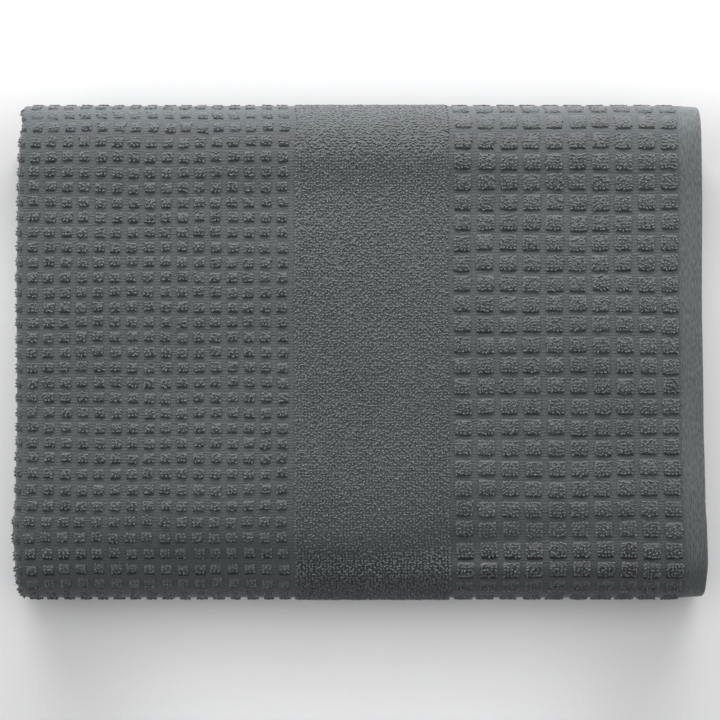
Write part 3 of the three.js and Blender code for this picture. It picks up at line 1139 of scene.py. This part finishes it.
class PileMesh:
    """Collects the yarn of one area into the arrays of a joined mesh."""

    def __init__(self) -> None:
        """Starts with nothing in it."""
        self.points: list[np.ndarray] = []
        self.faces: list[np.ndarray] = []
        self.shades: list[np.ndarray] = []
        self.count = 0

    def add(self, points: np.ndarray, faces: np.ndarray, shades: np.ndarray) -> None:
        """Adds many copies of one small mesh.

        Args:
            points: The points, by copy, point and direction.
            faces: One copy's faces, as rows of four point numbers.
            shades: The shades from 0 to 1, by copy and point.
        """
        copies, each = points.shape[:2]
        numbers = self.count + np.arange(copies)[:, None, None] * each + faces
        self.points.append(points.reshape(-1, 3))
        self.faces.append(numbers.reshape(-1, 4))
        self.shades.append(shades.ravel())
        self.count += copies * each

    def make(self, name: str, material: bpy.types.Material) -> bpy.types.Object:
        """Makes the object. Each face has its own small square of the bake's map."""
        faces = np.concatenate(self.faces)
        cells = math.ceil(math.sqrt(len(faces)))
        number = np.arange(len(faces))
        corner = np.stack([number % cells, number // cells], axis=-1)
        square = np.array([(0.1, 0.1), (0.9, 0.1), (0.9, 0.9), (0.1, 0.9)])
        flat = (corner[:, None] + square) / cells
        points = np.concatenate(self.points)
        points[:, 2] = np.maximum(points[:, 2], REST_GAP)
        made = make_piece(name, points, faces, flat, [material])
        set_attribute(made, "shade", np.concatenate(self.shades))
        return made


@dataclass
class TerryPile:
    """The yarn that stands on the ground weave: a loop at each spot, and a mat of packed feet in each check.

    Names with mat are about the mats, with crushed or crush about the back fold, which presses the pile, and
    with open about the front fold, which spreads it. Shades go from 0 to 1 and carry painted light: painted
    shade at the loops' feet and on the back roll, a painted shadow on each mat's skirt, a painted highlight on
    its back rows, and more painted shade and highlight on the front fold.
    """

    pack: FoldedPack
    ground: Ground = Ground()
    grid: LoopGrid = LoopGrid()
    tightest: float = 0.55
    span: float = 1.2 * MM
    span_spread: float = 0.16
    height: float = 1.05 * MM
    height_spread: float = 0.13
    border_fall: float = 0.12
    back_fall: float = 0.15
    yarn: float = 0.4 * MM
    yarn_spread: float = 0.12
    yarn_waist: float = 0.85
    swing: tuple[float, float] = (-0.15 * math.pi, 1.15 * math.pi)
    turn: float = math.radians(50)
    nap: float = 0.28 * MM
    lean: float = 0.2 * MM
    lean_limit: float = 1.3
    spill: float = 0.18 * MM
    scatter: float = 0.26 * MM
    foot_offset: float = 0.17 * MM
    spread_limit: float = 2.0
    wander_limit: float = 2.5
    shade: float = 0.77
    shade_spread: float = 0.1
    # Painted shade at the loops' feet
    foot_painted_shade: float = 0.3
    crush_depth: float = 0.4
    # Painted shade on the back roll: the level that the shades there are drawn to, and how far
    back_roll_painted_shade_level: float = 0.6
    back_roll_painted_shade_blend: float = 0.75
    open_rise: float = 0.14
    open_spread: float = 0.06
    # On the front fold: a painted highlight on the loops, and more painted shade at their feet
    open_painted_highlight: float = 0.16
    open_painted_shade: float = 0.5
    # On the front fold: how strong the mats' painted highlight and painted shade are, and how far their
    # painted shadow's skirt reaches out
    open_painted_light_contrast: float = 0.42
    open_shadow_skirt: float = 0.5 * MM
    mat_edge: float = 0.2 * MM
    mat_side: float = 0.5 * MM
    mat_back: float = 1.3 * MM
    mat_lip: float = 0.1 * MM
    mat_slope: float = 0.05 * MM
    # The flat skirt on the ground in front of each mat, which carries a painted shadow
    mat_shadow_skirt: float = 0.75 * MM
    mat_foot: float = 0.03 * MM
    mat_sink: float = 0.15 * MM
    mat_rise: float = 0.07 * MM
    mat_unevenness: float = 0.18 * MM
    mat_limit: float = 0.34 * MM
    mat_lift_share: float = 0.5
    # The mats' shades by row: a painted highlight on the back rows, the mat's own tone on top, and a painted
    # shadow on the foot and skirt; then the front fold's painted contrast, and painted shade on the side
    # columns
    mat_tones_and_painted_light: tuple[float, ...] = (0.7, 0.65, 0.0, 0.3)
    mat_painted_light_contrasts: tuple[float, ...] = (1.0, -0.6, 0.0, -1.0)
    mat_side_painted_shade: float = 0.7
    mat_shade_spread: float = 0.06
    # How far the mats' shades are drawn to the back roll's painted shade level
    mat_back_roll_painted_shade_blend: float = 0.8
    mat_crushed_fall: float = 0.8

    def build(
        self, area: PileArea, rng: np.random.Generator, material: bpy.types.Material
    ) -> bpy.types.Object:
        """Makes one area.

        Args:
            area: Its place and what grows there.
            rng: The source of small differences.
            material: The yarn's material.

        Returns:
            The piece.
        """
        mesh = PileMesh()
        for part in area.fields:
            if isinstance(part, CheckField):
                middles = part.middles(self.grid, area.low, area.high, rng)
                self.add_mats(mesh, part, middles, rng)
                spots = part.spots(self.grid, middles)
            else:
                spots = part.spots(area.low, area.high)
            self.add_loops(mesh, spots, area, rng)
        return mesh.make(area.name, material)

    def distances(self, length: np.ndarray, width: np.ndarray) -> tuple[np.ndarray, np.ndarray]:
        """The distances along both paths under lengths along the outer face, whose rows start at the top."""
        origin = self.pack.face_width("back fold")
        along = self.pack.lengthwise.under_face(length, self.pack.cloth / 2)
        return along, self.pack.widthwise.under_face(width + origin, self.pack.outer_rise)

    def add_mats(
        self, mesh: PileMesh, checks: CheckField, middles: np.ndarray, rng: np.random.Generator
    ) -> None:
        """Adds the mat of packed yarn that fills each check below its loops.

        Its skirt on the ground in front carries a painted shadow, and its back rows a painted highlight.

        Args:
            mesh: What they are added to.
            checks: The field.
            middles: The checks' middles.
            rng: The source of small differences.
        """
        cuts = checks.side - 1
        half_length = checks.side * self.grid.along / 2
        half_width = checks.side * self.grid.across / 2
        side = half_length + self.mat_edge
        front = half_width + self.mat_lip
        foot = front + self.mat_slope
        inner = np.linspace(-1, 1, cuts) * (side - self.mat_side)
        columns = np.concatenate([[-side], inner, [side]])
        top = np.linspace(self.mat_back - half_width, front, cuts)
        # The last two rows are a flat skirt on the ground in front of the mat, which carries a painted shadow
        rows = np.concatenate([[-half_width - self.mat_edge], top, [foot, foot + self.mat_shadow_skirt]])
        inside = np.abs(columns) < side
        raised_length, raised_width = every_pair(inside, (rows > rows[0]) & (rows < foot))
        raised = raised_length & raised_width
        step_length, step_width = every_pair(columns, rows)
        rounded_length = step_length * bowed(step_width / half_width)
        rounded_width = step_width * bowed(step_length / side)
        count = middles.shape[1]
        shape = (count, len(raised))
        uneven = rng.normal(0, self.mat_unevenness, (3, *shape))
        uneven = np.clip(uneven, -self.mat_limit, self.mat_limit)
        length = middles[0][:, None] + rounded_length + uneven[0]
        width = middles[1][:, None] + rounded_width + uneven[1]
        opened = self.ground.open_share(self.pack, self.distances(length.ravel(), width.ravel())[1])
        opened = opened.reshape(shape)
        # On the front fold the skirt that carries the painted shadow reaches further out
        width = width + self.open_shadow_skirt * (step_width > foot) * opened
        along, across = self.distances(length.ravel(), width.ravel())
        crushed = self.ground.crushed_share(self.pack, across).reshape(shape)
        packed = self.ground.packed_lift(self.pack, across).reshape(shape)
        packed = packed + self.mat_rise * (1 - self.mat_crushed_fall * crushed) - self.mat_rise * opened
        under = self.ground.weave + self.mat_foot - self.mat_sink * (step_width < foot)
        lift = under + (packed + self.mat_lift_share * uneven[2] - under) * raised
        points = self.pack.place(along, across, lift.ravel()).reshape(*shape, 3)
        keep = self.stand(*self.distances(*middles))[-1] > self.tightest
        # Painted light by row: a painted highlight on the back rows, a painted shadow on the foot and skirt,
        # and painted shade on the side columns
        shades = self.by_row(self.mat_tones_and_painted_light, cuts) * np.where(raised_length, 1, self.mat_side_painted_shade)
        shades = np.clip(shades + rng.normal(0, self.mat_shade_spread, (count, 1)), 0, 1)
        # Painted shade on the back roll: the mats' shades there are drawn to one level, which also fades their
        # painted shadow
        shades = shades + (self.back_roll_painted_shade_level - shades) * self.mat_back_roll_painted_shade_blend * crushed
        opened = self.ground.open_share(self.pack, across).reshape(shape)
        # On the front fold: a painted highlight on the back rows, and painted shade on the top and the skirt
        shades = shades + self.open_painted_light_contrast * opened * self.by_row(self.mat_painted_light_contrasts, cuts)
        mesh.add(points[keep], grid_faces(cuts + 2, cuts + 3), shades[keep])

    @staticmethod
    def by_row(values: Sequence[float], cuts: int) -> np.ndarray:
        """A mat's values by point, from those of its two back rows, its top, and its front's two rows."""
        back, top, *feet = values
        return np.tile(np.concatenate([[back, back], np.full(cuts - 1, top), feet]), cuts + 2)

    def add_loops(self, mesh: PileMesh, spots: Spots, area: PileArea, rng: np.random.Generator) -> None:
        """Adds a loop at each spot that has room for one.

        Args:
            mesh: What they are added to.
            spots: Where the loops stand.
            area: How finely each is meshed, and the share of them that is built.
            rng: The source of small differences.
        """
        along, across = self.distances(spots.length, spots.width)
        base, forward, sideways, up, room = self.stand(along, across)
        crushed = self.ground.crushed_share(self.pack, across)[:, None]
        opened = self.ground.open_share(self.pack, across)[:, None]
        loops = self.shapes(spots.edge_length, spots.edge_width, area.grade, rng)
        loops[..., 2] *= 1 - self.crush_depth * crushed + self.open_rise * opened
        height = loops[..., 2]
        depth = 1 - np.clip(height / height.max(axis=1, keepdims=True), 0, 1)
        chance = rng.normal(0, 1, (len(base), 1))
        # On the front fold the loops are painted lighter, as a painted highlight
        own = self.shade + (self.shade_spread + self.open_spread * opened) * chance + self.open_painted_highlight * opened
        # Painted shade: each loop is painted darker towards its feet, and more so on the front fold
        shades = np.clip(own - (self.foot_painted_shade + self.open_painted_shade * opened) * depth, 0, 1)
        # Painted shade on the back roll: the loops' shades there are drawn to one level
        shades = shades + (self.back_roll_painted_shade_level - shades) * self.back_roll_painted_shade_blend * crushed
        points = (
            base[:, None]
            + loops[..., 0, None] * forward[:, None]
            + loops[..., 1, None] * sideways[:, None]
            + loops[..., 2, None] * up[:, None]
        )
        keep = (room > self.tightest) & (rng.random(len(base)) < area.built)
        mesh.add(points[keep], grid_faces(*area.grade.value, closed=True), shades[keep])

    def stand(
        self, along: np.ndarray, across: np.ndarray
    ) -> tuple[np.ndarray, np.ndarray, np.ndarray, np.ndarray, np.ndarray]:
        """Where loops stand on the ground weave.

        Args:
            along: Distances along the towel's length.
            across: Distances along its width.

        Returns:
            Each loop's foot, the directions along the towel, across it and up off it, and the share of the
            weave's own spacing that the folds leave there.
        """
        lift = np.full_like(along, self.ground.weave)
        near = 0.05 * MM
        base = self.pack.place(along, across, lift)
        forward = (self.pack.place(along + near, across, lift) - base) / near
        sideways = (self.pack.place(along, across + near, lift) - base) / near
        up = unit(np.cross(forward, sideways))
        room = np.minimum(np.linalg.norm(sideways, axis=1), np.linalg.norm(forward, axis=1))
        forward = unit(forward)
        return base, forward, np.cross(up, forward), up, room

    def shapes(
        self, edge_length: np.ndarray, edge_width: np.ndarray, grade: Grade, rng: np.random.Generator
    ) -> np.ndarray:
        """The loops' points, each about its own foot.

        Args:
            edge_length: From -1 to 1, where each loop stands along its check.
            edge_width: The same across it.
            grade: How finely each is meshed.
            rng: The source of small differences.

        Returns:
            An array of loops, points and the three directions: along, across and up.
        """
        count = len(edge_length)
        stations, sides = grade.value

        def spread(middle: float, share: float) -> np.ndarray:
            """Values round a middle, one for each loop, shaped to meet the stations and sides."""
            chance = np.clip(rng.normal(0, share, count), -self.spread_limit, self.spread_limit)
            return (middle * (1 + chance))[:, None, None]

        def wander(size: float) -> np.ndarray:
            """Small moves either way, one for each loop."""
            limit = self.wander_limit * size
            return np.clip(rng.normal(0, size, count), -limit, limit)[:, None, None]

        swing = np.linspace(*self.swing, stations)[None, :, None]
        phase = (np.arange(sides) / sides * math.tau)[None, None, :]
        half_span = spread(self.span / 2, self.span_spread)
        border = np.maximum(np.abs(edge_length), np.abs(edge_width))[:, None, None]
        from_back = np.maximum(-edge_width, 0)[:, None, None]
        height = spread(self.height, self.height_spread)
        height = height * (1 - self.border_fall * border - self.back_fall * from_back)
        bulk = spread(self.yarn, self.yarn_spread) * (
            self.yarn_waist + (1 - self.yarn_waist) * np.sin(swing)
        )
        out_length = -np.cos(swing) * height
        out_up = np.sin(swing) * half_span
        out = bulk * np.cos(phase) / np.sqrt(out_length**2 + out_up**2)
        length = -np.cos(swing) * half_span + out * out_length
        up = np.sin(swing) * height + out * out_up
        across = bulk * np.sin(phase) + np.cos(swing) * wander(self.foot_offset)
        turn = wander(self.turn)
        risen = np.clip(up / height, 0, self.lean_limit)
        lean_length = wander(self.lean) + self.spill * edge_length[:, None, None]
        lean_across = wander(self.lean) + self.spill * edge_width[:, None, None] + self.nap
        parts = (
            length * np.cos(turn) - across * np.sin(turn) + risen * lean_length + wander(self.scatter),
            length * np.sin(turn) + across * np.cos(turn) + risen * lean_across + wander(self.scatter),
            up,
        )
        shape = (count, stations, sides)
        return np.stack([np.broadcast_to(part, shape) for part in parts], axis=-1).reshape(count, -1, 3)


def grid_faces(rows: int, columns: int, closed: bool = False) -> np.ndarray:
    """The faces of a grid of points, as rows of four point numbers.

    Args:
        rows: How many rows of points there are.
        columns: How many points a row has.
        closed: Whether each row's last point is joined to its first.

    Returns:
        The faces.
    """
    row, column = every_pair(np.arange(rows - 1), np.arange(columns if closed else columns - 1))
    after = (column + 1) % columns
    corners = [row * columns + column, (row + 1) * columns + column, (row + 1) * columns + after]
    faces = np.stack([*corners, row * columns + after], axis=-1)
    return faces[:, ::-1] if closed else faces


@dataclass
class Towel:
    """The whole towel: its sheet and the loops on it, area by area.

    The back fold's pile starts a little before the flap ends, by the back lead.
    """

    pack: FoldedPack = field(default_factory=FoldedPack)
    seed: int = 41
    back_lead: float = 4 * MM
    large_checks: CheckField = CheckField(
        columns=range(10),
        first_column=16.9 * MM,
        column_pitch=11.73 * MM,
        first_row=-17.6 * MM,
        row_pitch=10.36 * MM,
        side=5,
    )
    small_checks: CheckField = CheckField(
        columns=range(16),
        first_column=213.8 * MM,
        column_pitch=8.45 * MM,
        first_row=-11.7 * MM,
        row_pitch=7.63 * MM,
        side=3,
        slack=4.2 * MM,
    )

    def areas(self) -> list[PileArea]:
        """The areas of the pile."""
        wide = self.pack.face_width
        back = wide("flap") - self.back_lead
        top = wide("back fold")
        front = wide("top panel")
        under = wide("lower front corner")
        end = wide("bottom panel")
        flap = self.pack.selvedge_width
        small = self.small_checks
        large = self.large_checks
        band = PlainBand(*self.pack.band)
        at_left = replace(small, columns=range(16, 19))
        fold_at = self.pack.face_length_middle("right fold")
        first_column = fold_at - small.column_pitch / 2
        at_right = replace(small, columns=range(2), first_column=first_column)
        everything = (large, band, small)
        listed = [
            PileArea("pile_top_small_checks", (small,), top, front, Grade.FINE),
            PileArea("pile_top_band", (band,), top, front, Grade.FINE),
            PileArea("pile_top_large_checks", (large,), top, front, Grade.FINE),
            PileArea("pile_back_fold", everything, back, top, Grade.FINE),
            PileArea("pile_front_fold", everything, front, under, Grade.FINE),
            PileArea("pile_underside", everything, under, end, Grade.PLAIN, built=0.6),
            PileArea("pile_left_end", (at_left,), flap, end, Grade.PLAIN),
            PileArea("pile_right_folds", (at_right,), flap, end, Grade.PLAIN),
        ]
        return [area._replace(low=area.low - top, high=area.high - top) for area in listed]

    def build(self) -> list[bpy.types.Object]:
        """Makes the sheet and all the loops, hides the imported towel and hangs the pieces on the body."""
        yarn = YarnFinish().material()
        cloth = TowelCloth(self.pack, yarn).build()
        pile = TerryPile(self.pack)
        areas = []
        for number, area in enumerate(self.areas()):
            areas.append(pile.build(area, np.random.default_rng(self.seed + number), yarn))
        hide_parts(NODE)
        for piece in (cloth, *areas):
            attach(piece, BODY)
            log.info("%s: %d triangles", piece.name, triangles([piece]))
        return [cloth, *areas]


class Lamp(NamedTuple):
    """A soft rectangular lamp: its width and height, its watts, the place it faces and how wide it opens."""

    name: str
    at: tuple[float, float, float]
    size: tuple[float, float]
    power: float
    toward: tuple[float, float, float] = (0.0, 0.0, 0.0)
    spread: float = 180.0


LAMPS = (
    Lamp("back_light", at=(0, 1.12, 0.43), size=(2.0, 0.42), power=40),
    Lamp("top_light", at=(0, 0.08, 1.5), size=(1.5, 1.5), power=8.9),
    Lamp("left_light", at=(-1.2, 0, 0.6), size=(1.8, 0.5), power=7),
    Lamp("right_light", at=(1.2, 0, 0.6), size=(1.8, 0.5), power=6),
    Lamp("front_strip", at=(0, -0.19, 0.3), size=(0.26, 0.03), power=0.025, toward=(0, -0.19, 0), spread=30),
)


@dataclass
class Studio:
    """The pale floor, the soft light from the back and the camera straight above.

    The middle is the pixel of the picture that shows the frame's origin.
    """

    millimetres_a_pixel: float = 0.51 * MM
    picture: int = 720
    middle: tuple[float, float] = (359, 352)
    focus_height: float = 28 * MM
    distance: float = 3.0
    sensor: float = 36.0
    # Painted light on the floor: lightest in front, against the pack's cast shadow, darker towards the back,
    # and paler again just behind the pack, against the shade of its back roll
    floor_painted_light_fade: tuple[float, float] = (20 * MM, 110 * MM)
    floor_painted_light_behind: tuple[float, float] = (100 * MM, 138 * MM)
    floor_colours: tuple[tuple[float, ...], ...] = ((0.805, 0.805, 0.81), (0.56, 0.56, 0.565))
    floor_painted_light_behind_share: float = 0.45
    floor_roughness: float = 0.8
    floor_reach: float = 3.0
    sky: tuple[float, ...] = (0.93, 0.95, 1.0, 1.0)
    sky_strength: float = 0.06

    def camera(self) -> None:
        """Makes the camera, straight above the pack, with +Y up in the picture."""
        data = bpy.data.cameras.new("camera")
        data.sensor_width = self.sensor
        view_width = self.picture * self.millimetres_a_pixel
        data.lens = self.sensor * (self.distance - self.focus_height) / view_width
        camera = bpy.data.objects.new("camera", data)
        x = (self.picture / 2 - self.middle[0]) * self.millimetres_a_pixel
        y = (self.middle[1] - self.picture / 2) * self.millimetres_a_pixel
        camera.location = (x, y, self.distance)
        bpy.context.scene.collection.objects.link(camera)
        bpy.context.scene.camera = camera

    def lamp(self, row: Lamp) -> None:
        """Makes one lamp."""
        data = bpy.data.lights.new(row.name, "AREA")
        data.shape = "RECTANGLE"
        data.size = row.size[0]
        data.size_y = row.size[1]
        data.energy = row.power
        data.spread = math.radians(row.spread)
        lamp = bpy.data.objects.new(row.name, data)
        lamp.visible_camera = False
        lamp.location = row.at
        lamp.rotation_mode = "QUATERNION"
        lamp.rotation_quaternion = (Vector(row.toward) - Vector(row.at)).to_track_quat("-Z", "Y")
        bpy.context.scene.collection.objects.link(lamp)

    def floor(self) -> None:
        """Makes the pale floor, with painted light against the pack's cast shadow and the shade of its back
        roll.
        """
        nodes = FinishNodes("pale_floor")
        place = nodes.add("ShaderNodeTexCoord").outputs["Object"]
        toward_back = nodes.axes(place)[1]
        spans = (self.floor_painted_light_fade, self.floor_painted_light_behind)
        darker, lighter = (((toward_back - start) / (end - start)).clamped() for start, end in spans)
        # Painted light: from the light front colour to the darker one, paled again just behind the pack
        share = darker * darker * (3.0 - 2.0 * darker) * (1.0 - self.floor_painted_light_behind_share * lighter)
        colour = nodes.blend(share, self.floor_colours[0], self.floor_colours[1])
        values = {"Base Color": colour, "Roughness": self.floor_roughness}
        shader = nodes.add("ShaderNodeBsdfPrincipled", None, values)
        nodes.add("ShaderNodeOutputMaterial", None, {"Surface": shader.outputs[0]})
        side = self.floor_reach
        corners = np.array([(-side, -side, 0), (side, -side, 0), (side, side, 0), (-side, side, 0)])
        flat = np.array([(0, 0), (1, 0), (1, 1), (0, 1)], dtype=float)
        floor = make_piece("floor", corners, np.array([[0, 1, 2, 3]]), flat, [nodes.material])

    def world(self) -> None:
        """Sets the pale surroundings."""
        world = bpy.data.worlds.new("surroundings")
        world.use_nodes = True
        background = world.node_tree.nodes["Background"]
        background.inputs["Color"].default_value = self.sky
        background.inputs["Strength"].default_value = self.sky_strength
        bpy.context.scene.world = world

    def build(self) -> None:
        """Makes the floor, the light and the camera."""
        self.floor()
        self.world()
        for row in LAMPS:
            self.lamp(row)
        self.camera()
        bpy.context.scene.view_settings.view_transform = "Standard"


def main() -> None:
    """Builds the studio and the towel."""
    Studio().build()
    pieces = Towel().build()
    log.info("%d pieces, %d triangles", len(pieces), triangles(pieces))


if __name__ == "__main__":
    main()
